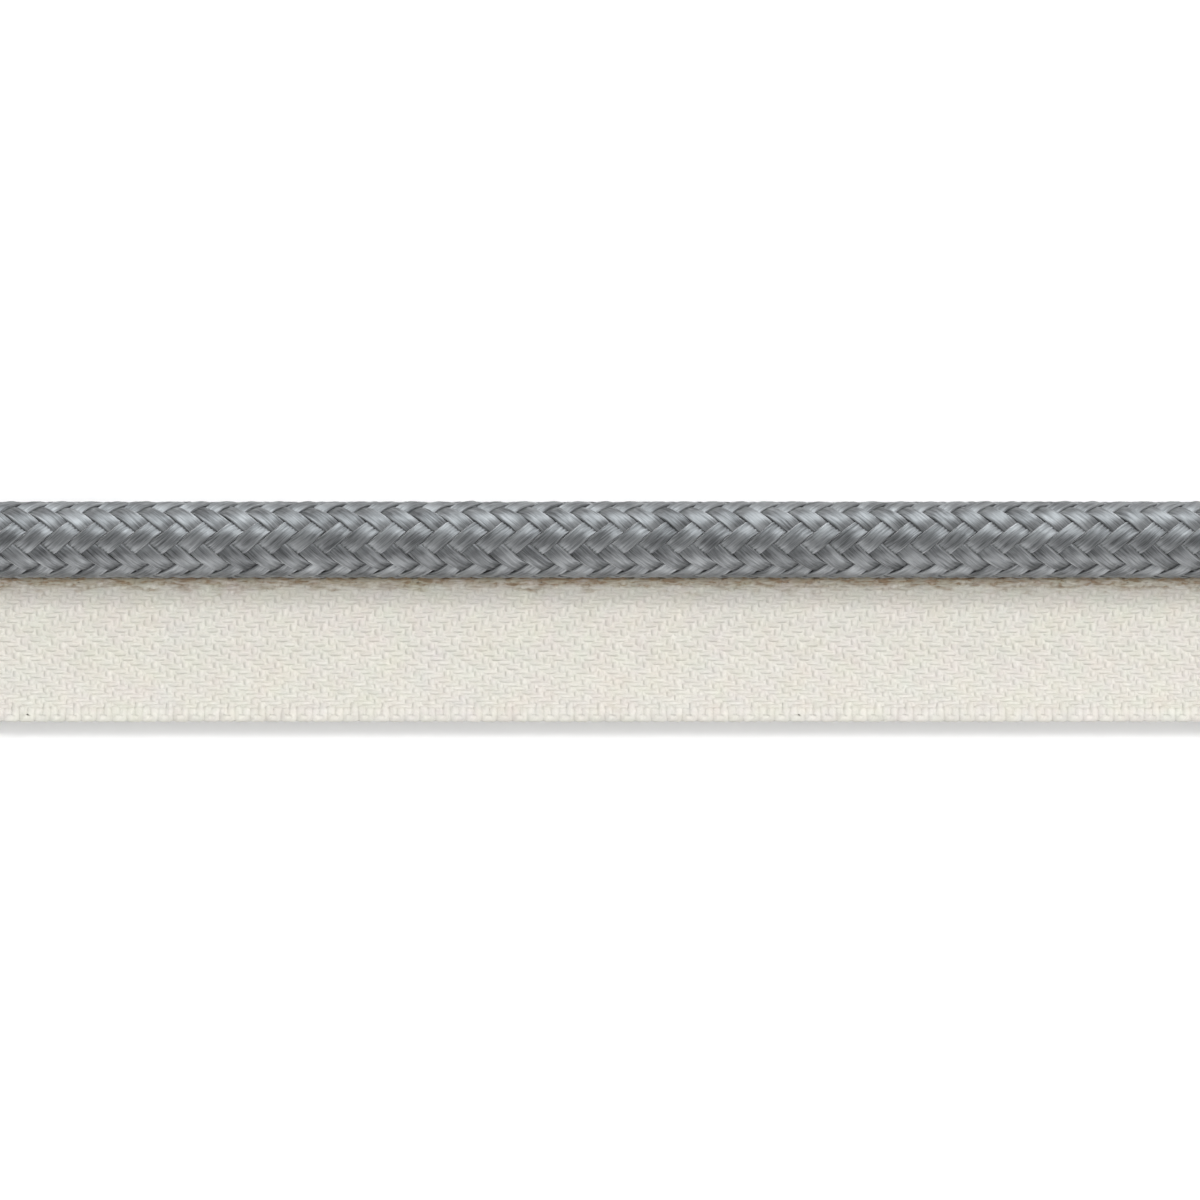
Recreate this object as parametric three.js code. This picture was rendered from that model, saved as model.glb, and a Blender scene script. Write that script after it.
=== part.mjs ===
// A straight cut length of lip piping trim, lying face up on a flat surface.
// A round braided cord runs along the back edge, and a herringbone tape, the lip that is
// sewn into a seam, runs beside it. Millimetres, +X along the trim, +Y from the lip's outer
// edge to the cord, +Z up. The origin is on the surface, under the middle of the trim.
import * as THREE from "three";
import { mergeVertices } from "three/addons/utils/BufferGeometryUtils.js";

// Driving dimensions
const TRIM_LENGTH = 150;
const TRIM_WIDTH = 19;
const CORD_RADIUS = 3.34;
const CORD_AXIS_HEIGHT = 3.25;
const BRAID_RELIEF = 0.3;
const BRAID_ROWS = 10;
const BRAID_STITCHES = 64;
const BRAID_START_DEG = -6.5;
const TAPE_THICKNESS = 1;
const TAPE_RISE_ANGLE_DEG = 55;
const TAPE_RISE_WIDTH = 2.2;
const TAPE_LIFT = 1.6;
const TAPE_LIFT_WIDTH = 5.5;
const TAPE_CURVE_STEPS = 8;
const SELVEDGE_ROUND = 0.35;
const SEAM_GAP = 0.3;

const CORD_GREY = 0x7c7f82;
const TAPE_CREAM = 0xe2dfd6;

// The braid's crossings stand on a grid: two columns of them in each row around the cord,
// and two rings of grid points for each stitch along it. A point where two strands cross is
// high and the four points around it are low, like the squares of a chessboard.
const COLUMNS = 2 * BRAID_ROWS;
const RINGS = 2 * BRAID_STITCHES;
const COLUMN_ANGLE = (2 * Math.PI) / COLUMNS;
const START_ANGLE = THREE.MathUtils.degToRad(BRAID_START_DEG);

// The crossing columns nearest the back edge stand a little off it, so the axis is set back
// by what the outermost one reaches.
const backColumn = Math.round((Math.PI / 2 - START_ANGLE) / COLUMN_ANGLE);
const backReach = CORD_RADIUS * Math.sin(START_ANGLE + backColumn * COLUMN_ANGLE);
const CORD_AXIS_Y = TRIM_WIDTH / 2 - backReach;

const isCrossing = (column, ring) => (column + ring) % 2 === 0;

// One point of the cord's surface. Angles run from straight up towards the back edge. Where
// the cord rests it is pressed flat, and the braid's relief is gone.
function cordPoint(column, ring) {
  const angle = START_ANGLE + column * COLUMN_ANGLE;
  const pressed = CORD_AXIS_HEIGHT + CORD_RADIUS * Math.cos(angle) <= 0;
  const raised = pressed || isCrossing(column, ring);
  const radius = raised ? CORD_RADIUS : CORD_RADIUS - BRAID_RELIEF;
  return new THREE.Vector3(
    (ring / RINGS - 0.5) * TRIM_LENGTH,
    CORD_AXIS_Y + radius * Math.sin(angle),
    pressed ? 0 : CORD_AXIS_HEIGHT + radius * Math.cos(angle),
  );
}

// Whether the two triangles of a grid cell meet along the line that climbs towards +X.
// Each strand passes over two crossings and then under two. Where both lie in one row, the
// crease follows the strand that is on top, so its two crossings make one long ridge.
// Between rows it follows the low points.
function creaseClimbs(column, ring) {
  const place = column % 4;
  if (place === 0) return true;
  if (place === 2) return false;
  return !isCrossing(column, ring);
}

// A closed body whose side is a ring-by-ring grid of points, with a flat cap at each end.
function braidedBar() {
  const points = [];
  for (let ring = 0; ring <= RINGS; ring++)
    for (let column = 0; column < COLUMNS; column++)
      points.push(cordPoint(column, ring));

  const at = (column, ring) => ring * COLUMNS + (column % COLUMNS);
  const faces = [];
  for (let ring = 0; ring < RINGS; ring++)
    for (let column = 0; column < COLUMNS; column++) {
      const a = at(column, ring);
      const b = at(column + 1, ring);
      const c = at(column + 1, ring + 1);
      const d = at(column, ring + 1);
      if (creaseClimbs(column, ring)) faces.push(a, c, b, a, d, c);
      else faces.push(a, d, b, b, d, c);
    }

  for (const [ring, side] of [[0, -1], [RINGS, 1]]) {
    const middle = points.length;
    points.push(new THREE.Vector3((side * TRIM_LENGTH) / 2, CORD_AXIS_Y, CORD_AXIS_HEIGHT));
    for (let column = 0; column < COLUMNS; column++) {
      const here = at(column, ring);
      const next = at(column + 1, ring);
      if (side > 0) faces.push(middle, next, here);
      else faces.push(middle, here, next);
    }
  }

  const geometry = new THREE.BufferGeometry().setFromPoints(points);
  geometry.setIndex(faces);
  geometry.computeVertexNormals();
  return geometry;
}

// The middle line of the tape's section. The outer edge curls up off the surface, the middle
// lies flat on it, and the inner edge turns up steeply to the cord's side. Its lower
// corner there is the gap away from the cord, whose overhang hides it from above.
function tapePath() {
  const half = TAPE_THICKNESS / 2;
  const angle = THREE.MathUtils.degToRad(TAPE_RISE_ANGLE_DEG);
  const endHeight = half + (TAPE_RISE_WIDTH / 2) * Math.tan(angle);
  const drop = CORD_AXIS_HEIGHT - (endHeight - half * Math.cos(angle));
  const clear = CORD_RADIUS + SEAM_GAP;
  const endY = CORD_AXIS_Y - Math.sqrt(clear * clear - drop * drop) - half * Math.sin(angle);
  const rise = new THREE.QuadraticBezierCurve(
    new THREE.Vector2(endY - TAPE_RISE_WIDTH, half),
    new THREE.Vector2(endY - TAPE_RISE_WIDTH / 2, half),
    new THREE.Vector2(endY, endHeight),
  );
  const edgeY = -TRIM_WIDTH / 2 + SELVEDGE_ROUND;
  const lift = new THREE.QuadraticBezierCurve(
    new THREE.Vector2(edgeY, half + TAPE_LIFT),
    new THREE.Vector2(edgeY + TAPE_LIFT_WIDTH / 2, half),
    new THREE.Vector2(edgeY + TAPE_LIFT_WIDTH, half),
  );
  return [...lift.getPoints(TAPE_CURVE_STEPS), ...rise.getPoints(TAPE_CURVE_STEPS)];
}

// The section's outline: the middle line set out by half the thickness on both sides, and
// closed round the outer selvedge.
function tapeSection() {
  const path = tapePath();
  const upper = [];
  const lower = [];
  path.forEach((point, i) => {
    const before = path[Math.max(i - 1, 0)];
    const after = path[Math.min(i + 1, path.length - 1)];
    const along = after.clone().sub(before).normalize();
    const out = new THREE.Vector2(-along.y, along.x).multiplyScalar(TAPE_THICKNESS / 2);
    upper.push(point.clone().add(out));
    lower.push(point.clone().sub(out));
  });
  const selvedge = [upper[0].clone(), lower[0].clone()].map((corner) =>
    corner.lerp(path[0], SELVEDGE_ROUND).setX(-TRIM_WIDTH / 2),
  );
  return new THREE.Shape([...lower, ...upper.reverse(), ...selvedge]);
}

// The section runs the whole length: its own x and y become the trim's Y and Z.
function tapeStrip() {
  const geometry = new THREE.ExtrudeGeometry(tapeSection(), {
    depth: TRIM_LENGTH,
    bevelEnabled: false,
  });
  const alongTrim = new THREE.Matrix4().makeBasis(
    new THREE.Vector3(0, 1, 0),
    new THREE.Vector3(0, 0, 1),
    new THREE.Vector3(1, 0, 0),
  );
  geometry.applyMatrix4(alongTrim);
  geometry.translate(-TRIM_LENGTH / 2, 0, 0);
  geometry.deleteAttribute("normal");
  geometry.deleteAttribute("uv");
  const merged = mergeVertices(geometry);
  merged.computeVertexNormals();
  return merged;
}

function part(name, geometry, color, roughness) {
  const material = new THREE.MeshStandardMaterial({ color, roughness, metalness: 0, flatShading: true });
  const mesh = new THREE.Mesh(geometry, material);
  mesh.name = name;
  return mesh;
}

const trim = new THREE.Group();
trim.add(part("braided_cord", braidedBar(), CORD_GREY, 0.55));
trim.add(part("twill_tape", tapeStrip(), TAPE_CREAM, 0.9));

export default trim;
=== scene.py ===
"""A cut length of lip piping trim, seen straight from above: a braided grey cord along one edge
of a cream herringbone tape, lying face up on a pale surface. Metres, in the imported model's frame:
X runs along the trim, Y across it towards the cord, and Z up."""

import math

import bpy
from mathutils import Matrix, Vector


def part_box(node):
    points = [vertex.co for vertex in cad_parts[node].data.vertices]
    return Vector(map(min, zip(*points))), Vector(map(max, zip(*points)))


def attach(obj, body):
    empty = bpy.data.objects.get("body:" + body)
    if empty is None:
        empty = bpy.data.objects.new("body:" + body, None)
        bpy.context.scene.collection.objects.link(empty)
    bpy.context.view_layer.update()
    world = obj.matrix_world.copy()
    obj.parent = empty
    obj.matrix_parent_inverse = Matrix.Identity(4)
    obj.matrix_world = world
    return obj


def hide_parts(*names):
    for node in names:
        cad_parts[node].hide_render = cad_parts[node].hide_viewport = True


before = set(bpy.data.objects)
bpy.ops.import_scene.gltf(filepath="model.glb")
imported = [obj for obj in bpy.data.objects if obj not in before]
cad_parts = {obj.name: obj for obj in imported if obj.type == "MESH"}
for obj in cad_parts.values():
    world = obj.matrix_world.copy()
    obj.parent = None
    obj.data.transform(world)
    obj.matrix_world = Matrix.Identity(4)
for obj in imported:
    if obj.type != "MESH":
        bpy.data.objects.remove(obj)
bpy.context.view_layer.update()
MM = 0.001

# The surface, the light and the camera.
# A white table under a soft light from the upper right and an even sky. Four low lights only shine
# in the glossy yarn. A long lens looks straight down and leaves the ends outside the picture.
PICTURE_WIDTH = 104.1 * MM
PICTURE_MIDDLE_X = 0.26 * MM
PICTURE_MIDDLE_Y = 0.95 * MM
LENS = 200.0
SENSOR = 36.0
FOCUS_HEIGHT = 3.0 * MM
LIGHT_DISTANCE = 1.2
TABLE_HALF = 1.5
SKY_STRENGTH = 0.94

floor_mesh = bpy.data.meshes.new("table_top")
table_corners = [(x * TABLE_HALF, y * TABLE_HALF, 0) for x, y in ((-1, -1), (1, -1), (1, 1), (-1, 1))]
floor_mesh.from_pydata(table_corners, [], [(0, 1, 2, 3)])
floor = bpy.data.objects.new("table_top", floor_mesh)
bpy.context.scene.collection.objects.link(floor)

white_table = bpy.data.materials.new("white_table")
white_table.use_nodes = True
table_shader = white_table.node_tree.nodes["Principled BSDF"]
table_shader.inputs["Base Color"].default_value = (0.9, 0.9, 0.9, 1)
table_shader.inputs["Roughness"].default_value = 0.9
table_shader.inputs["Specular IOR Level"].default_value = 0.2
floor_mesh.materials.append(white_table)

camera_data = bpy.data.cameras.new("camera")
camera_data.lens = LENS
camera_data.sensor_width = SENSOR
camera = bpy.data.objects.new("camera", camera_data)
bpy.context.scene.collection.objects.link(camera)
camera_distance = PICTURE_WIDTH * LENS / SENSOR
camera.location = (PICTURE_MIDDLE_X, PICTURE_MIDDLE_Y, FOCUS_HEIGHT + camera_distance)
camera_data.clip_start = 0.01
camera_data.clip_end = 10.0
bpy.context.scene.camera = camera


def soft_light(name, azimuth, elevation, size, watts, fills=True, shines=True):
    """A square studio light that faces the trim. Azimuth 0 stands it on +X, and 90 on +Y.
    It may be kept from filling with plain light, or from shining in glossy yarn."""
    data = bpy.data.lights.new(name, "AREA")
    data.size = size
    data.energy = watts
    lamp = bpy.data.objects.new(name, data)
    bpy.context.scene.collection.objects.link(lamp)
    around = math.radians(azimuth)
    above = math.radians(elevation)
    lamp.location = (
        LIGHT_DISTANCE * math.cos(above) * math.cos(around),
        LIGHT_DISTANCE * math.cos(above) * math.sin(around),
        LIGHT_DISTANCE * math.sin(above),
    )
    lamp.rotation_euler = (math.pi / 2 - above, 0, around + math.pi / 2)
    lamp.visible_diffuse = fills
    lamp.visible_glossy = shines
    return lamp


soft_light("key_light", azimuth=60, elevation=56, size=0.36, watts=9, shines=False)
back_shine = soft_light("back_shine", azimuth=90, elevation=31, size=0.8, watts=14.5, fills=False)
back_shine.data.color = (0.93, 0.98, 1.0)
soft_light("right_shine", azimuth=50, elevation=25, size=0.5, watts=1.5, fills=False)
soft_light("left_shine", azimuth=180, elevation=25, size=0.5, watts=1.5, fills=False)
soft_light("front_shine", azimuth=270, elevation=16, size=1.0, watts=12.5, fills=False)

# An even sky fills the shade, but does not shine in the glossy yarn.
sky = bpy.data.worlds.new("studio_sky")
sky.use_nodes = True
sky_light = sky.node_tree.nodes["Background"]
sky_light.inputs["Color"].default_value = (1, 1, 1, 1)
sky_light.inputs["Strength"].default_value = SKY_STRENGTH
sky.cycles_visibility.glossy = False
bpy.context.scene.world = sky
bpy.context.scene.view_settings.view_transform = "Standard"

# The braided cord's strands.
# Twenty flat strands of five satin yarns each, ten leaning each way, cross over two and under
# two round a soft filling. The braid is cut square at its ends and pressed flat underneath.
BRAID_ROWS = 10
BRAID_STITCHES = 64
BRAID_START = math.radians(-6.5)
STEPS_PER_STITCH = 8
CORD_AXIS_HEIGHT = 3.25 * MM
CORD_RADIUS = 3.34 * MM
STRAND_WIDTH = 1.5 * MM
STRAND_THICKNESS = 0.46 * MM
STRAND_LIFT = 0.2 * MM
YARN_GROOVE = 0.18 * MM
YARNS = 5
STRAND_WANDER = 0.12 * MM
STRAND_WANDER_SCALE = 420.0
LIFT_CHANGE = 0.2
LIFT_CHANGE_SCALE = 700.0
YARN_UNEVENNESS = 0.1 * MM
YARN_UNEVENNESS_SCALE = 2600.0
YARN_NOISE_STRETCH = 0.2
YARN_NOISE_SPREAD = 0.7 * MM
PRESSED_HEIGHT = 0.03 * MM
PRESSED_RELIEF = 0.2
SQUARED_LENGTH = 1.2 * MM
FRAY = 0.04 * MM
FRAY_SCALE = 2500.0
CUT_END_CORNERS = 5
FIBRE_SHARE = 0.6
FIBRE_DARKEST = 0.36
FIBRE_LIGHTEST = 0.64

cord_low, cord_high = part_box("braided_cord")
trim_length = cord_high.x - cord_low.x
cord_axis_y = (cord_low.y + cord_high.y) / 2
stitch = trim_length / BRAID_STITCHES


class Field:
    """A number that changes over a mesh, inside one node tree. Arithmetic on it adds Math nodes."""

    def __init__(self, tree, socket):
        self.tree = tree
        self.socket = socket

    def math(self, operation, *others):
        node = self.tree.nodes.new("ShaderNodeMath")
        node.operation = operation
        for slot, value in enumerate((self, *others)):
            fill(self.tree, node.inputs[slot], value)
        return Field(self.tree, node.outputs[0])

    def __add__(self, other):
        return self.math("ADD", other)

    def __sub__(self, other):
        return self.math("SUBTRACT", other)

    def __mul__(self, other):
        return self.math("MULTIPLY", other)

    def __truediv__(self, other):
        return self.math("DIVIDE", other)


def fill(tree, socket, value):
    """Sets a node's input to a number, or links it to a field or an output."""
    if isinstance(value, Field):
        tree.links.new(value.socket, socket)
    elif isinstance(value, bpy.types.NodeSocket):
        tree.links.new(value, socket)
    else:
        socket.default_value = value


def add(tree, kind, inputs=None, **settings):
    """A new node with its own settings, and its inputs filled by name."""
    node = tree.nodes.new(kind)
    for name, value in settings.items():
        setattr(node, name, value)
    for name, value in (inputs or {}).items():
        fill(tree, node.inputs[name], value)
    return node


def point(tree, x, y, z):
    """Three fields put together as one position or direction."""
    return add(tree, "ShaderNodeCombineXYZ", {"X": x, "Y": y, "Z": z}).outputs[0]


def wander(tree, place, scale):
    """Smooth noise between -1 and 1, the same on every run. The odd factors in the places that
    are given to it keep each yarn's noise apart from its neighbour's."""
    noise = add(tree, "ShaderNodeTexNoise", {"Vector": place, "Scale": scale, "Detail": 1.0})
    return Field(tree, noise.outputs[0]) * 2.0 - 1.0


def open_tree(name, sizes):
    """An empty Geometry Nodes tree with named inputs, and those inputs as fields."""
    tree = bpy.data.node_groups.new(name, "GeometryNodeTree")
    tree.interface.new_socket("Geometry", in_out="INPUT", socket_type="NodeSocketGeometry")
    for label, value in sizes.items():
        kind = "NodeSocketInt" if isinstance(value, int) else "NodeSocketFloat"
        tree.interface.new_socket(label, in_out="INPUT", socket_type=kind)
    tree.interface.new_socket("Material", in_out="INPUT", socket_type="NodeSocketMaterial")
    tree.interface.new_socket("Geometry", in_out="OUTPUT", socket_type="NodeSocketGeometry")
    given = tree.nodes.new("NodeGroupInput")
    return tree, {label: Field(tree, given.outputs[label]) for label in ("Geometry", *sizes, "Material")}


def stepped_lines(tree, length, steps, amount):
    """Equal straight lines along X, cut into steps, and the number of each line."""
    start = add(tree, "ShaderNodeCombineXYZ", {"X": length * -0.5})
    end = add(tree, "ShaderNodeCombineXYZ", {"X": length * 0.5})
    line = add(tree, "GeometryNodeCurvePrimitiveLine", {"Start": start.outputs[0], "End": end.outputs[0]})
    stepped = add(tree, "GeometryNodeResampleCurve", {"Curve": line.outputs[0], "Count": steps})
    copies = add(
        tree,
        "GeometryNodeDuplicateElements",
        {"Geometry": stepped.outputs[0], "Amount": amount},
        domain="SPLINE",
    )
    return copies.outputs["Geometry"], Field(tree, copies.outputs["Duplicate Index"])


def position_of(tree):
    """The position of each point, as three fields."""
    position = add(tree, "GeometryNodeInputPosition")
    apart = add(tree, "ShaderNodeSeparateXYZ", {"Vector": position.outputs[0]})
    return [Field(tree, apart.outputs[axis]) for axis in "XYZ"]


def keep(tree, geometry, **values):
    """Holds fields on the points as they are now, for use after the points have moved."""
    kept = add(tree, "GeometryNodeCaptureAttribute", {"Geometry": geometry})
    for name in values:
        kept.capture_items.new("FLOAT", name)
    for name, value in values.items():
        fill(tree, kept.inputs[name], value)
    return kept.outputs["Geometry"], {name: Field(tree, kept.outputs[name]) for name in values}


def sweep(tree, path, places, outward, section, scale=1.0):
    """Moves a path's points to their places and sweeps a section along it, its X outward."""
    moved = add(tree, "GeometryNodeSetPosition", {"Geometry": path, "Position": places})
    upright = add(
        tree,
        "GeometryNodeSetCurveNormal",
        {"Curve": moved.outputs[0], "Normal": outward},
        mode="FREE",
    )
    swept = add(
        tree,
        "GeometryNodeCurveToMesh",
        {"Curve": upright.outputs[0], "Profile Curve": section, "Scale": scale, "Fill Caps": True},
    )
    return swept.outputs[0]


def chart(tree, mesh, across, along, number):
    """Stores where each point is across and along its yarn, and the number of the yarn."""
    mapped = add(
        tree,
        "GeometryNodeStoreNamedAttribute",
        {"Geometry": mesh, "Name": "UVMap", "Value": point(tree, across, along, 0.0)},
        data_type="FLOAT2",
        domain="CORNER",
    )
    numbered = add(
        tree,
        "GeometryNodeStoreNamedAttribute",
        {"Geometry": mapped.outputs[0], "Name": "yarn_number", "Value": number},
        data_type="FLOAT",
        domain="POINT",
    )
    return numbered.outputs[0]


def frayed(tree, x, y, z, length):
    """The same X, drawn back unevenly where it comes to a cut end."""
    uneven = wander(tree, point(tree, x, y, z), FRAY_SCALE) * 0.5 + 0.5
    return x * (uneven / length * (-2.0 * FRAY) + 1.0)


def close_tree(tree, geometry, given):
    """Ends a tree: instances made real, the material set, and all but the cut ends smooth."""
    real = add(tree, "GeometryNodeRealizeInstances", {"Geometry": geometry})
    painted = add(
        tree,
        "GeometryNodeSetMaterial",
        {"Geometry": real.outputs[0], "Material": given["Material"]},
    )
    corners = Field(tree, add(tree, "GeometryNodeInputMeshFaceNeighbors").outputs["Vertex Count"])
    smooth = add(
        tree,
        "GeometryNodeSetShadeSmooth",
        {"Geometry": painted.outputs[0], "Shade Smooth": corners.math("LESS_THAN", CUT_END_CORNERS)},
    )
    result = tree.nodes.new("NodeGroupOutput")
    tree.links.new(smooth.outputs[0], result.inputs[0])


def grow(name, tree, sizes, material, base=None):
    """Runs a tree with these sizes and keeps what it makes as a plain mesh object."""
    host = bpy.data.objects.new(name, base or bpy.data.meshes.new(name))
    bpy.context.scene.collection.objects.link(host)
    modifier = host.modifiers.new("grow", "NODES")
    modifier.node_group = tree
    values = {**sizes, "Material": material}
    for item in tree.interface.items_tree:
        if item.in_out == "INPUT" and item.name in values:
            modifier[item.identifier] = values[item.name]
    made = bpy.data.meshes.new_from_object(host.evaluated_get(bpy.context.evaluated_depsgraph_get()))
    host.modifiers.clear()
    host.data = made
    made.name = name
    return host


def crossing_wave(place):
    """How high a yarn that goes over two and under two stands: 1 when over, -1 when under.
    Place counts crossings, and the yarn is over at 0 and 1 and under at 2 and 3."""
    wave = ((place - 0.5) * (math.pi / 2)).math("COSINE")
    return wave * (wave * wave * -0.5 + 1.5)


def yarn_band(tree, yarns, width, thickness, groove):
    """The closed section of a flat strand: parallel yarns on top and a plain back.
    Also how far across the strand each point is, from -1 to 1."""
    top_points = 2 * yarns
    back_points = 4
    ring = add(tree, "GeometryNodeCurvePrimitiveCircle", {"Resolution": top_points + back_points})
    index = Field(tree, add(tree, "GeometryNodeInputIndex").outputs[0])
    top = index.math("MINIMUM", top_points)
    back = (index - top_points).math("MAXIMUM", 0.0)
    across = top * (2 / top_points) - back * (2 / back_points) - 1.0
    bulge = (across.math("POWER", 4.0) * -1.0 + 1.0).math("MAXIMUM", 0.0).math("SQRT")
    side = back.math("MINIMUM", 1.0) * -2.0 + 1.0
    crest = top.math("MODULO", 2.0)
    furrow = (crest - 1.0) * bulge * groove * side.math("MAXIMUM", 0.0)
    height = bulge * side * (thickness * 0.5) + furrow
    shaped = add(
        tree,
        "GeometryNodeSetPosition",
        {
            "Geometry": ring.outputs["Curve"],
            "Position": point(tree, height, across * (width * -0.5), 0.0),
        },
    )
    section, kept = keep(tree, shaped.outputs[0], across=across)
    return section, kept["across"]


strand_sizes = {
    "Trim length": trim_length,
    "Steps": BRAID_STITCHES * STEPS_PER_STITCH + 1,
    "Strands": BRAID_ROWS,
    "Lean": 1.0,
    "Stitch": stitch,
    "Row angle": 2 * math.pi / BRAID_ROWS,
    "Start angle": BRAID_START,
    "Middle radius": CORD_RADIUS - STRAND_LIFT - STRAND_THICKNESS / 2,
    "Lift": STRAND_LIFT,
    "Width": STRAND_WIDTH,
    "Thickness": STRAND_THICKNESS,
    "Groove": YARN_GROOVE,
    "Wander": STRAND_WANDER,
    "Unevenness": YARN_UNEVENNESS,
    "Axis Y": cord_axis_y,
    "Axis height": CORD_AXIS_HEIGHT,
    "Pressed height": PRESSED_HEIGHT,
    "Squared length": SQUARED_LENGTH,
}


def strand_tree():
    """Ten helical strands that lean one way, each a band of yarns swept along its path."""
    tree, size = open_tree("Braid strands", strand_sizes)
    lines, number = stepped_lines(tree, size["Trim length"], size["Steps"], size["Strands"])
    along = position_of(tree)[0]
    seed = point(tree, along, number * 0.371, size["Lean"] * 0.59)
    sway = wander(tree, seed, STRAND_WANDER_SCALE)
    lift_seed = point(tree, along, number * 0.533, size["Lean"] * 0.23)
    lift_change = wander(tree, lift_seed, LIFT_CHANGE_SCALE) * LIFT_CHANGE

    rows = along / size["Stitch"] * size["Lean"] + number
    angle = rows * size["Row angle"] + size["Start angle"] + sway * size["Wander"] / size["Middle radius"]
    lift = size["Lift"] * (lift_change + 1.0)
    radius = crossing_wave(rows * 2.0) * size["Lean"] * lift + size["Middle radius"]
    out_y = angle.math("SINE")
    out_z = angle.math("COSINE")
    places = point(tree, along, radius * out_y + size["Axis Y"], radius * out_z + size["Axis height"])
    path, kept = keep(tree, lines, along=along, number=number, out_y=out_y, out_z=out_z)
    outward = point(tree, 0.0, kept["out_y"], kept["out_z"])
    section, across = yarn_band(tree, YARNS, size["Width"], size["Thickness"], size["Groove"])
    swept = sweep(tree, path, places, outward, section)
    swept = add(tree, "GeometryNodeFlipFaces", {"Mesh": swept}).outputs[0]

    yarn_place = point(
        tree,
        kept["along"] * YARN_NOISE_STRETCH,
        across * YARN_NOISE_SPREAD,
        kept["number"] * 0.29 + size["Lean"],
    )
    uneven = wander(tree, yarn_place, YARN_UNEVENNESS_SCALE) * size["Unevenness"]
    x, y, z = position_of(tree)
    near_end = (kept["along"].math("ABSOLUTE") - size["Trim length"] * 0.5) / size["Squared length"] + 1.0
    ahead = (x - kept["along"]) * near_end.math("MAXIMUM", 0.0)
    back_turn = ahead * size["Lean"] * size["Row angle"] / size["Stitch"]
    from_y = y - size["Axis Y"] + kept["out_y"] * uneven
    from_z = z - size["Axis height"] + kept["out_z"] * uneven
    cosine = back_turn.math("COSINE")
    sine = back_turn.math("SINE")
    cut_y = from_y * cosine - from_z * sine + size["Axis Y"]
    height = from_z * cosine + from_y * sine + size["Axis height"]
    pressed = height.math("MAXIMUM", height * PRESSED_RELIEF + size["Pressed height"])
    cut_x = frayed(tree, x - ahead, cut_y, height, size["Trim length"])
    laid = add(
        tree,
        "GeometryNodeSetPosition",
        {"Geometry": swept, "Position": point(tree, cut_x, cut_y, pressed)},
    )
    turn = kept["along"] / size["Stitch"] * size["Row angle"] * size["Middle radius"]
    travel = (turn * turn + kept["along"] * kept["along"]).math("SQRT") * kept["along"].math("SIGN")
    charted = chart(
        tree,
        laid.outputs[0],
        across * (size["Width"] * 0.5),
        travel,
        kept["number"] + size["Lean"] * (2.0 * BRAID_ROWS),
    )
    close_tree(tree, charted, size)
    return tree


def fibre_group():
    """Fine fibres along a yarn: how light each one is, and how far it stands out. The factors
    on the yarn's number take each yarn to its own part of the noise."""
    group = bpy.data.node_groups.new("Yarn fibres", "ShaderNodeTree")
    for label in ("Fibre width", "Fibre length", "Twist"):
        group.interface.new_socket(label, in_out="INPUT", socket_type="NodeSocketFloat")
    group.interface.new_socket("Tone", in_out="OUTPUT", socket_type="NodeSocketFloat")
    group.interface.new_socket("Yarn tone", in_out="OUTPUT", socket_type="NodeSocketFloat")
    group.interface.new_socket("Height", in_out="OUTPUT", socket_type="NodeSocketFloat")
    given = group.nodes.new("NodeGroupInput")
    width = Field(group, given.outputs["Fibre width"])
    length = Field(group, given.outputs["Fibre length"])
    uv = add(group, "ShaderNodeUVMap", uv_map="UVMap")
    apart = add(group, "ShaderNodeSeparateXYZ", {"Vector": uv.outputs[0]})
    across = Field(group, apart.outputs["X"])
    along = Field(group, apart.outputs["Y"])
    yarn = add(group, "ShaderNodeAttribute", attribute_name="yarn_number", attribute_type="GEOMETRY")
    number = Field(group, yarn.outputs["Fac"])
    twisted = across + along * Field(group, given.outputs["Twist"])
    fine = add(
        group,
        "ShaderNodeTexNoise",
        {
            "Vector": point(group, twisted / width, along / length, number * 7.3),
            "Scale": 1.0,
            "Detail": 3.0,
            "Roughness": 0.6,
        },
    )
    broad = add(
        group,
        "ShaderNodeTexNoise",
        {
            "Vector": point(group, across / width * 0.25, along / length, number * 3.1),
            "Scale": 0.35,
            "Detail": 2.0,
        },
    )
    result = group.nodes.new("NodeGroupOutput")
    group.links.new(fine.outputs[0], result.inputs["Tone"])
    group.links.new(broad.outputs[0], result.inputs["Yarn tone"])
    group.links.new(fine.outputs[0], result.inputs["Height"])
    return group


yarn_fibres = fibre_group()


def yarn_material(name, fibres, dark, light, bump):
    """A yarn's material: fibre by fibre between two colours, with the fibres as fine relief."""
    material = bpy.data.materials.new(name)
    material.use_nodes = True
    tree = material.node_tree
    shader = tree.nodes["Principled BSDF"]
    detail = add(tree, "ShaderNodeGroup", node_tree=yarn_fibres)
    for label, value in fibres.items():
        detail.inputs[label].default_value = value
    fibre_tone = Field(tree, detail.outputs["Tone"]) * FIBRE_SHARE
    mixed = fibre_tone + Field(tree, detail.outputs["Yarn tone"]) * (1 - FIBRE_SHARE)
    ramp = add(
        tree,
        "ShaderNodeMapRange",
        {"Value": mixed, "From Min": FIBRE_DARKEST, "From Max": FIBRE_LIGHTEST},
    )
    colour = add(tree, "ShaderNodeMix", data_type="RGBA")
    tree.links.new(ramp.outputs["Result"], colour.inputs["Factor"])
    colour.inputs[6].default_value = dark
    colour.inputs[7].default_value = light
    tree.links.new(colour.outputs[2], shader.inputs["Base Color"])
    relief = add(tree, "ShaderNodeBump", {"Height": detail.outputs["Height"], "Distance": bump})
    relief.inputs["Strength"].default_value = 1.0
    tree.links.new(relief.outputs[0], shader.inputs["Normal"])
    return material, shader


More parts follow.
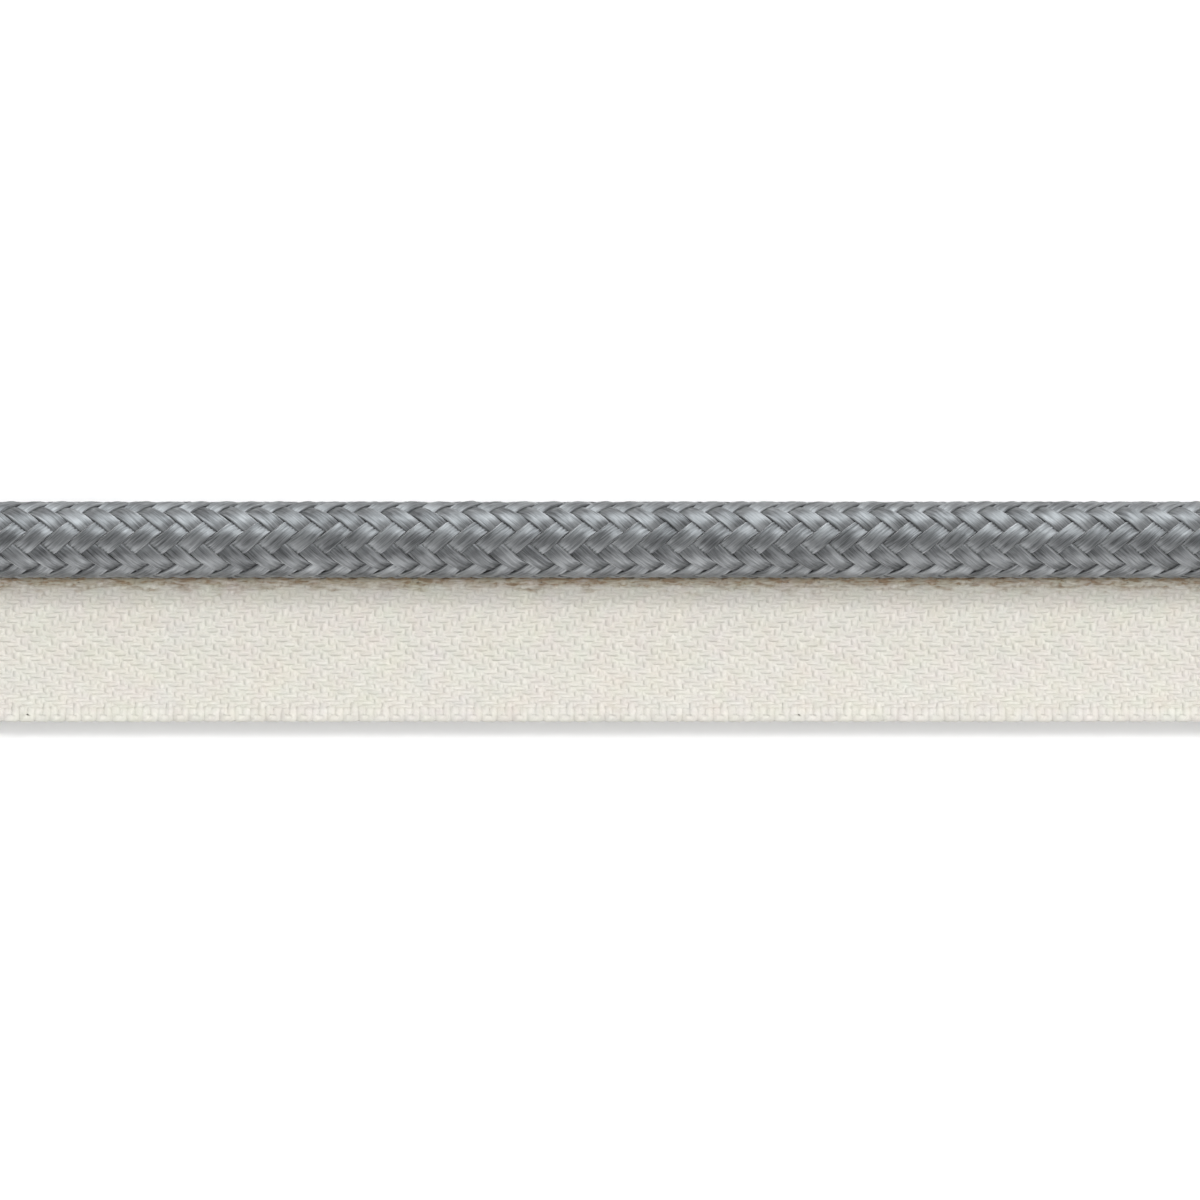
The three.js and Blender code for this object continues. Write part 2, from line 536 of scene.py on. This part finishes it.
grey_yarn, grey_shader = yarn_material(
    "grey_satin_yarn",
    {"Fibre width": 0.12 * MM, "Fibre length": 1.8 * MM, "Twist": 0.02},
    dark=(0.12, 0.125, 0.13, 1),
    light=(0.4, 0.413, 0.425, 1),
    bump=0.05 * MM,
)
grey_shader.inputs["Metallic"].default_value = 0.6
grey_shader.inputs["Roughness"].default_value = 0.55
grey_shader.inputs["Anisotropic"].default_value = 0.9
grey_shader.inputs["Specular IOR Level"].default_value = 0.6
grey_shader.inputs["Sheen Weight"].default_value = 0.25
grey_shader.inputs["Sheen Roughness"].default_value = 0.4
across_yarn = add(grey_yarn.node_tree, "ShaderNodeTangent", direction_type="UV_MAP", uv_map="UVMap")
grey_yarn.node_tree.links.new(across_yarn.outputs[0], grey_shader.inputs["Tangent"])

strands_tree = strand_tree()
for name, lean in (("strands_right", 1.0), ("strands_left", -1.0)):
    strands = grow(name, strands_tree, {**strand_sizes, "Lean": lean}, grey_yarn)
    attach(strands, "root")
    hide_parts("braided_cord")

# The cord's filling.
# A bundle of soft parallel yarns fills the braid and rounds it out. Between the strands only a
# shadow of it shows, and at the cut ends the yarns stand side by side.
FILLING_RADIUS = 2.84 * MM
FILLING_YARNS = 37
FILLING_YARN_RADIUS = 0.47 * MM
FILLING_STEPS = 40
FILLING_SET_BACK = 0.25 * MM
FILLING_TWIST = 40.0
FILLING_SIDES = 14
FILLING_SIDE_WIDTH = 0.25 * MM
SUNFLOWER_ANGLE = math.radians(137.508)

filling_sizes = {
    "Trim length": trim_length,
    "Steps": FILLING_STEPS + 1,
    "Yarns": FILLING_YARNS,
    "Bundle radius": FILLING_RADIUS,
    "Yarn radius": FILLING_YARN_RADIUS,
    "Set back": FILLING_SET_BACK,
    "Axis Y": cord_axis_y,
    "Axis height": CORD_AXIS_HEIGHT,
}


def filling_tree():
    """Yarns laid in a round bundle, spaced as seeds in a sunflower so that they fill the disc."""
    tree, size = open_tree("Cord filling", filling_sizes)
    lines, number = stepped_lines(tree, size["Trim length"], size["Steps"], size["Yarns"])
    along = position_of(tree)[0]
    spread = ((number + 0.5) / size["Yarns"]).math("SQRT")
    angle = number * SUNFLOWER_ANGLE + along * FILLING_TWIST
    radius = spread * (size["Bundle radius"] - size["Yarn radius"])
    out_y = angle.math("SINE")
    out_z = angle.math("COSINE")
    set_back = (wander(tree, point(tree, number * 0.37, 0.0, 0.5), 1.0) + 1.0) * size["Set back"]
    x = along * (set_back / size["Trim length"] * -2.0 + 1.0)
    places = point(tree, x, radius * out_y + size["Axis Y"], radius * out_z + size["Axis height"])
    path, kept = keep(tree, lines, along=along, number=number, out_y=out_y, out_z=out_z)
    circle = add(
        tree,
        "GeometryNodeCurvePrimitiveCircle",
        {"Resolution": FILLING_SIDES, "Radius": size["Yarn radius"]},
    )
    index = Field(tree, add(tree, "GeometryNodeInputIndex").outputs[0])
    section, around = keep(tree, circle.outputs["Curve"], index=index)
    outward = point(tree, 0.0, kept["out_y"], kept["out_z"])
    swept = sweep(tree, path, places, outward, section)
    charted = chart(tree, swept, around["index"] * FILLING_SIDE_WIDTH, kept["along"], kept["number"])
    close_tree(tree, charted, size)
    return tree


filling_yarn, filling_shader = yarn_material(
    "grey_filling_yarn",
    {"Fibre width": 0.06 * MM, "Fibre length": 1.0 * MM, "Twist": 0.3},
    dark=(0.06, 0.063, 0.066, 1),
    light=(0.17, 0.177, 0.184, 1),
    bump=0.03 * MM,
)
filling_shader.inputs["Roughness"].default_value = 0.9
filling = grow("cord_filling", filling_tree(), filling_sizes, filling_yarn)
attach(filling, "root")

# The tape's ground cloth.
# A thin closed sheet stands for the heart of the 13 mm cotton tape. It lies flat, curls up along
# its outer edge, and climbs steeply to the cord, where it is sewn on under the cord's side.
TAPE_MIDDLE_HEIGHT = 0.5 * MM
TAPE_OUTER_Y = -9.3 * MM
TAPE_LIFT = 1.6 * MM
TAPE_LIFT_START_Y = -3.65 * MM
TAPE_RISE_START_Y = 0.24 * MM
TAPE_RISE_WIDTH = 2.2 * MM
TAPE_RISE_ANGLE = math.radians(55)
TAPE_TUCK = 0.75 * MM
GROUND_THICKNESS = 0.42 * MM
GROUND_EDGE = 0.2 * MM
CURVE_STEPS = 12
GROUND_COLUMNS = 101
GROUND_ROWS = 41
# Painted shade on the cotton next to the cord, in the cord's shadow and under its side: where it starts
# and where it is full, how ragged its edge is, its colours, and its browner streaks.
SHADE_START_Y = 1.7 * MM
SHADE_FULL_Y = 2.6 * MM
SHADE_RAGGED = 2.6 * MM
SEAM_SHADE = (0.63, 0.58, 0.5, 1)
PAINTED_SHADE_BROWN = (0.45, 0.34, 0.24, 1)
PAINTED_SHADE_EDGE_SCALE = 1800.0
PAINTED_SHADE_STREAK_SCALE = 2800.0
PAINTED_SHADE_STRETCH = (0.35, 1, 1)
PAINTED_SHADE_BROWN_FROM = 0.46
PAINTED_SHADE_BROWN_TO = 0.6
MOTTLE = 0.06
MOTTLE_SCALE = 450.0


def arc(first, handle, last, steps):
    """Points of a quadratic curve, without its first one."""
    points = []
    for step in range(1, steps + 1):
        t = step / steps
        points.append(
            [(1 - t) ** 2 * a + 2 * t * (1 - t) * b + t * t * c for a, b, c in zip(first, handle, last)]
        )
    return points


def tape_line():
    """The middle of the tape's section as Y and Z, from its outer edge to the cord."""
    z = TAPE_MIDDLE_HEIGHT
    lift_middle = (TAPE_OUTER_Y + TAPE_LIFT_START_Y) / 2
    points = [[TAPE_OUTER_Y, z + TAPE_LIFT]]
    points += arc(points[0], [lift_middle, z], [TAPE_LIFT_START_Y, z], CURVE_STEPS)
    points.append([TAPE_RISE_START_Y, z])
    run = TAPE_RISE_WIDTH
    top = [TAPE_RISE_START_Y + run, z + run / 2 * math.tan(TAPE_RISE_ANGLE)]
    points += arc(points[-1], [TAPE_RISE_START_Y + run / 2, z], top, CURVE_STEPS)
    tuck = [math.cos(TAPE_RISE_ANGLE) * TAPE_TUCK, math.sin(TAPE_RISE_ANGLE) * TAPE_TUCK]
    points.append([top[0] + tuck[0], top[1] + tuck[1]])
    return points


tape_points = tape_line()
line_mesh = bpy.data.meshes.new("tape_line")
line_mesh.from_pydata(
    [(0, y, z) for y, z in tape_points],
    [(i, i + 1) for i in range(len(tape_points) - 1)],
    [],
)
tape_arc = sum(math.dist(a, b) for a, b in zip(tape_points, tape_points[1:]))

ground_sizes = {
    "Trim length": trim_length,
    "Width": tape_arc,
    "Thickness": GROUND_THICKNESS,
    "Edge reach": GROUND_EDGE,
}


def on_tape(tree, size, along, across, height):
    """A place at a height over the middle of the cloth, and the direction out of its face."""
    section = add(tree, "GeometryNodeMeshToCurve", {"Mesh": size["Geometry"]})
    sample = add(
        tree,
        "GeometryNodeSampleCurve",
        {"Curves": section.outputs[0], "Length": across},
        mode="LENGTH",
        use_all_curves=True,
    )
    place = add(tree, "ShaderNodeSeparateXYZ", {"Vector": sample.outputs["Position"]})
    slope = add(tree, "ShaderNodeSeparateXYZ", {"Vector": sample.outputs["Tangent"]})
    out_y = Field(tree, slope.outputs["Z"]) * -1.0
    out_z = Field(tree, slope.outputs["Y"])
    beyond = across.math("MINIMUM", 0.0)
    y = Field(tree, place.outputs["Y"]) + out_y * height + out_z * beyond
    z = Field(tree, place.outputs["Z"]) + out_z * height - out_y * beyond
    return point(tree, along, y, z), out_y, out_z


def ground_tree():
    """The tape's line given its thickness, as one closed strip along the trim."""
    tree, size = open_tree("Tape ground", ground_sizes)
    plate = add(tree, "GeometryNodeMeshCube", {"Vertices X": GROUND_COLUMNS, "Vertices Y": GROUND_ROWS})
    x, y, z = position_of(tree)
    across = (y + 0.5) * (size["Width"] + size["Edge reach"]) - size["Edge reach"]
    height = z * size["Thickness"]
    along = frayed(tree, x * size["Trim length"], across, height, size["Trim length"])
    place, _, _ = on_tape(tree, size, along, across, height)
    flat, kept = keep(tree, plate.outputs["Mesh"], along=along, across=across)
    bent = add(tree, "GeometryNodeSetPosition", {"Geometry": flat, "Position": place})
    charted = chart(tree, bent.outputs[0], kept["across"], kept["along"], 0.0)
    close_tree(tree, charted, size)
    return tree


cotton, cotton_shader = yarn_material(
    "cream_cotton_yarn",
    {"Fibre width": 0.045 * MM, "Fibre length": 0.5 * MM, "Twist": 0.55},
    dark=(0.53, 0.512, 0.465, 1),
    light=(0.67, 0.65, 0.597, 1),
    bump=0.02 * MM,
)
cotton_tree = cotton.node_tree
# Painted shade: towards the cord the cotton's colour is darkened, and browned in streaks, behind a ragged
# noisy edge, where the cord's shadow falls on the tape.
cotton_place = add(cotton_tree, "ShaderNodeTexCoord").outputs["Object"]
cotton_apart = add(cotton_tree, "ShaderNodeSeparateXYZ", {"Vector": cotton_place})
cotton_across = Field(cotton_tree, cotton_apart.outputs["Y"])
painted_shade_place = add(cotton_tree, "ShaderNodeVectorMath", {"Vector": cotton_place}, operation="MULTIPLY")
painted_shade_place.inputs[1].default_value = PAINTED_SHADE_STRETCH
painted_shade_edge_noise = add(
    cotton_tree,
    "ShaderNodeTexNoise",
    {"Vector": painted_shade_place.outputs[0], "Scale": PAINTED_SHADE_EDGE_SCALE, "Detail": 3.0},
)
painted_shade_edge = cotton_across + (Field(cotton_tree, painted_shade_edge_noise.outputs[0]) - 0.5) * SHADE_RAGGED
cotton_shade = add(
    cotton_tree,
    "ShaderNodeMapRange",
    {"Value": painted_shade_edge, "From Min": SHADE_START_Y, "From Max": SHADE_FULL_Y},
)
painted_shade_streaks = add(
    cotton_tree,
    "ShaderNodeTexNoise",
    {"Vector": painted_shade_place.outputs[0], "Scale": PAINTED_SHADE_STREAK_SCALE, "Detail": 3.0},
)
painted_shade_brown_share = add(
    cotton_tree,
    "ShaderNodeMapRange",
    {"Value": painted_shade_streaks.outputs[0], "From Min": PAINTED_SHADE_BROWN_FROM, "From Max": PAINTED_SHADE_BROWN_TO},
)
painted_shade_tint = add(cotton_tree, "ShaderNodeMix", data_type="RGBA")
cotton_tree.links.new(painted_shade_brown_share.outputs["Result"], painted_shade_tint.inputs["Factor"])
painted_shade_tint.inputs[6].default_value = SEAM_SHADE
painted_shade_tint.inputs[7].default_value = PAINTED_SHADE_BROWN
seam_shade = add(cotton_tree, "ShaderNodeMix", data_type="RGBA")
cotton_tree.links.new(cotton_shade.outputs["Result"], seam_shade.inputs["Factor"])
seam_shade.inputs[6].default_value = (1, 1, 1, 1)
cotton_tree.links.new(painted_shade_tint.outputs[2], seam_shade.inputs[7])
cotton_colour = add(cotton_tree, "ShaderNodeMix", data_type="RGBA", blend_type="MULTIPLY")
cotton_colour.inputs["Factor"].default_value = 1.0
cotton_tree.links.new(cotton_shader.inputs["Base Color"].links[0].from_socket, cotton_colour.inputs[6])
cotton_tree.links.new(seam_shade.outputs[2], cotton_colour.inputs[7])
mottle = add(
    cotton_tree,
    "ShaderNodeTexNoise",
    {"Vector": cotton_place, "Scale": MOTTLE_SCALE, "Detail": 3.0},
)
mottled = add(cotton_tree, "ShaderNodeMix", data_type="RGBA", blend_type="OVERLAY")
mottled.inputs["Factor"].default_value = MOTTLE
cotton_tree.links.new(cotton_colour.outputs[2], mottled.inputs[6])
cotton_tree.links.new(mottle.outputs["Color"], mottled.inputs[7])
cotton_tree.links.new(mottled.outputs[2], cotton_shader.inputs["Base Color"])
cotton_shader.inputs["Roughness"].default_value = 0.85
cotton_shader.inputs["Specular IOR Level"].default_value = 0.25
cotton_shader.inputs["Sheen Weight"].default_value = 0.1
cotton_shader.inputs["Sheen Roughness"].default_value = 0.5

ground = grow("tape_ground", ground_tree(), ground_sizes, cotton, base=line_mesh.copy())
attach(ground, "root")
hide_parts("twill_tape")

# The tape's warp.
# Thirty-four cotton yarns run along the tape, closer together towards its outer edge. Each goes
# over two picks and under two, and the step turns back after the twentieth: the herringbone.
WARP_ENDS = 34
TURN_END = 19.5
PICKS = 224
WARP_WIDTH = 0.46 * MM
WARP_THICKNESS = 0.36 * MM
WEAVE_LIFT = 0.17 * MM
END_PITCH = 0.434 * MM
EDGE_CROWDING = 1.55 * MM
CROWDING_REACH = 9.0
SELVEDGE_ENDS = 2.6
SELVEDGE_STEEPNESS = 3.0
YARN_SIDES = 6
YARN_WANDER = 0.065 * MM
YARN_THICKNESS_CHANGE = 0.12
WARP_LIFT_CHANGE = 0.25
WARP_WANDER_SCALE = 900.0
WARP_LIFT_SCALE = 1300.0
WARP_THICKNESS_SCALE = 1100.0
WARP_NOISE_STEP = 0.317
WARP_SIDE_WIDTH = 0.2 * MM

warp_sizes = {
    "Trim length": trim_length,
    "Steps": 2 * PICKS + 1,
    "Ends": WARP_ENDS,
    "Pick pitch": trim_length / PICKS,
    "Turn end": TURN_END,
    "End pitch": END_PITCH,
    "Edge crowding": EDGE_CROWDING,
    "Crowding reach": CROWDING_REACH,
    "Selvedge ends": SELVEDGE_ENDS,
    "Lift": WEAVE_LIFT,
    "Width": WARP_WIDTH,
    "Thickness": WARP_THICKNESS,
    "Wander": YARN_WANDER,
}


def weave_step(end, pick, size):
    """Where warp and pick stand in the weave's four steps. Past the turn it runs backwards."""
    from_turn = (end - size["Turn end"]).math("ABSOLUTE")
    outer = (size["Turn end"] - end).math("SIGN").math("MAXIMUM", 0.0)
    return pick - from_turn - size["Turn end"] + outer * 2.0


def across_tape(end, size):
    """How far in from the tape's outer edge an end lies, measured along the cloth."""
    inward = end + 0.5
    crowded = (inward / size["Crowding reach"] * -1.0).math("EXPONENT") * -1.0 + 1.0
    return inward * size["End pitch"] - crowded * size["Edge crowding"]


def round_yarn(tree, size, sides):
    """The oval section of a yarn, and how far round it each point is."""
    circle = add(tree, "GeometryNodeCurvePrimitiveCircle", {"Resolution": sides, "Radius": 0.5})
    x, y, _ = position_of(tree)
    oval = add(
        tree,
        "GeometryNodeSetPosition",
        {
            "Geometry": circle.outputs["Curve"],
            "Position": point(tree, x * size["Thickness"], y * size["Width"], 0.0),
        },
    )
    index = Field(tree, add(tree, "GeometryNodeInputIndex").outputs[0])
    section, kept = keep(tree, oval.outputs[0], index=index)
    return section, kept["index"]


def warp_tree():
    """Each end a wavy yarn along the trim, at its own place across the tape."""
    tree, size = open_tree("Tape warp", warp_sizes)
    lines, number = stepped_lines(tree, size["Trim length"], size["Steps"], size["Ends"])
    along = position_of(tree)[0]
    pick = along / size["Pick pitch"] - 0.5
    inner = (number - size["Selvedge ends"]) * SELVEDGE_STEEPNESS
    inner = inner.math("MAXIMUM", 0.0).math("MINIMUM", 1.0)
    over = crossing_wave(weave_step(number, pick, size)) * inner + (inner - 1.0)
    noise_row = number * WARP_NOISE_STEP
    sway = wander(tree, point(tree, along, noise_row, 0.0), WARP_WANDER_SCALE) * size["Wander"]
    lift_change = wander(tree, point(tree, along, noise_row, 1.0), WARP_LIFT_SCALE) * WARP_LIFT_CHANGE
    height = over * size["Lift"] * (lift_change + 1.0)
    places, out_y, out_z = on_tape(tree, size, along, across_tape(number, size) + sway, height)
    thickening = wander(tree, point(tree, along, noise_row, 2.0), WARP_THICKNESS_SCALE)
    thick = thickening * YARN_THICKNESS_CHANGE + 1.0
    path, kept = keep(
        tree, lines, along=along, number=number, out_y=out_y, out_z=out_z, thick=thick
    )
    outward = point(tree, 0.0, kept["out_y"], kept["out_z"])
    section, around = round_yarn(tree, size, YARN_SIDES)
    swept = sweep(tree, path, places, outward, section, kept["thick"])
    x, y, z = position_of(tree)
    cut_x = frayed(tree, x, y, z, size["Trim length"])
    cut = add(tree, "GeometryNodeSetPosition", {"Geometry": swept, "Position": point(tree, cut_x, y, z)})
    charted = chart(tree, cut.outputs[0], around * WARP_SIDE_WIDTH, kept["along"], kept["number"])
    close_tree(tree, charted, size)
    return tree


warp = grow("tape_warp", warp_tree(), warp_sizes, cotton, base=line_mesh.copy())
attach(warp, "root")
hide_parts("twill_tape")

# The tape's weft.
# One thick soft cotton yarn goes to and fro across the warp, 224 times. At the outer edge it
# lies over the last three ends and turns back, and those turns side by side are the selvedge.
WEFT_WIDTH = 0.72 * MM
WEFT_THICKNESS = 0.36 * MM
STEPS_PER_PICK = 74
TURN_STEPS = 3
SELVEDGE_SPREAD = 0.5
SELVEDGE_SLOPE = 1.4
TURN_PINCH = 0.3
TURN_DROP = 0.15
WEFT_LIFT_CHANGE = 0.2
WEFT_WANDER_SCALE = 800.0
WEFT_LIFT_SCALE = 1500.0
WEFT_THICKNESS_SCALE = 1200.0
WEFT_NOISE_STEP = 0.4 * MM
WEFT_SIDE_WIDTH = 0.25 * MM
PICK_NUMBER_STEP = 0.13

weft_sizes = {
    **warp_sizes,
    "Steps": PICKS * STEPS_PER_PICK + 1,
    "Turn share": TURN_STEPS / STEPS_PER_PICK,
    "Selvedge spread": SELVEDGE_SPREAD,
    "Turn pinch": TURN_PINCH,
    "Width": WEFT_WIDTH,
    "Thickness": WEFT_THICKNESS,
}


def weft_tree():
    """One long yarn that crosses the tape pick by pick and turns in a half circle at each edge."""
    tree, size = open_tree("Tape weft", weft_sizes)
    lines, _ = stepped_lines(tree, size["Trim length"], size["Steps"], 1)
    travelled = position_of(tree)[0] / size["Pick pitch"] + PICKS / 2
    pick = travelled.math("FLOOR").math("MINIMUM", PICKS - 1.0)
    part = travelled - pick
    nearest = travelled.math("ROUND")
    turned = ((travelled - nearest).math("ABSOLUTE") / size["Turn share"]).math("MINIMUM", 1.0)
    swing = turned * (math.pi / 2)
    shift = swing.math("SINE") * (travelled - nearest).math("SIGN") * 0.5
    along = (nearest + shift - PICKS / 2) * size["Pick pitch"]
    crossed = (part - size["Turn share"]) / (size["Turn share"] * -2.0 + 1.0)
    crossed = crossed.math("MAXIMUM", 0.0).math("MINIMUM", 1.0)
    back = pick.math("MODULO", 2.0)
    progress = back * (crossed * -2.0 + 1.0) + crossed
    end = progress * float(WARP_ENDS) - 0.5

    step = weave_step(end, pick - PICKS / 2, size)
    fade = ((end - size["Turn end"]).math("ABSOLUTE") * 2.0).math("MINIMUM", 1.0)
    inner = (end - size["Selvedge ends"]) * SELVEDGE_SLOPE + 0.5
    inner = inner.math("MAXIMUM", 0.0).math("MINIMUM", 1.0)
    over = crossing_wave(step) * fade * inner * -1.0 + (inner * -1.0 + 1.0)
    seed = point(tree, along, end * WEFT_NOISE_STEP, 0.5)
    sway = wander(tree, seed, WEFT_WANDER_SCALE) * size["Wander"]
    turning = swing.math("COSINE")
    lift = size["Lift"] * (wander(tree, seed, WEFT_LIFT_SCALE) * WEFT_LIFT_CHANGE + 1.0)
    height = over * lift * (turning * -TURN_DROP + 1.0)
    places, out_y, out_z = on_tape(tree, size, along + sway, across_tape(end, size), height)
    thick = wander(tree, seed, WEFT_THICKNESS_SCALE) * YARN_THICKNESS_CHANGE + 1.0
    thick = thick + (inner * -1.0 + 1.0) * size["Selvedge spread"] - turning * size["Turn pinch"]
    distance = position_of(tree)[0] * (tape_arc / (trim_length / PICKS))
    path, kept = keep(
        tree, lines, along=distance, number=pick, out_y=out_y, out_z=out_z, thick=thick
    )
    outward = point(tree, 0.0, kept["out_y"], kept["out_z"])
    section, around = round_yarn(tree, size, YARN_SIDES)
    swept = sweep(tree, path, places, outward, section, kept["thick"])
    x, y, z = position_of(tree)
    half = size["Trim length"] * 0.5
    within = x.math("MINIMUM", half).math("MAXIMUM", half * -1.0)
    cut_x = frayed(tree, within, y, z, size["Trim length"])
    cut = add(tree, "GeometryNodeSetPosition", {"Geometry": swept, "Position": point(tree, cut_x, y, z)})
    pick_number = kept["number"] * PICK_NUMBER_STEP
    charted = chart(tree, cut.outputs[0], around * WEFT_SIDE_WIDTH, kept["along"], pick_number)
    close_tree(tree, charted, size)
    return tree


weft = grow("tape_weft", weft_tree(), weft_sizes, cotton, base=line_mesh.copy())
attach(weft, "root")
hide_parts("twill_tape")
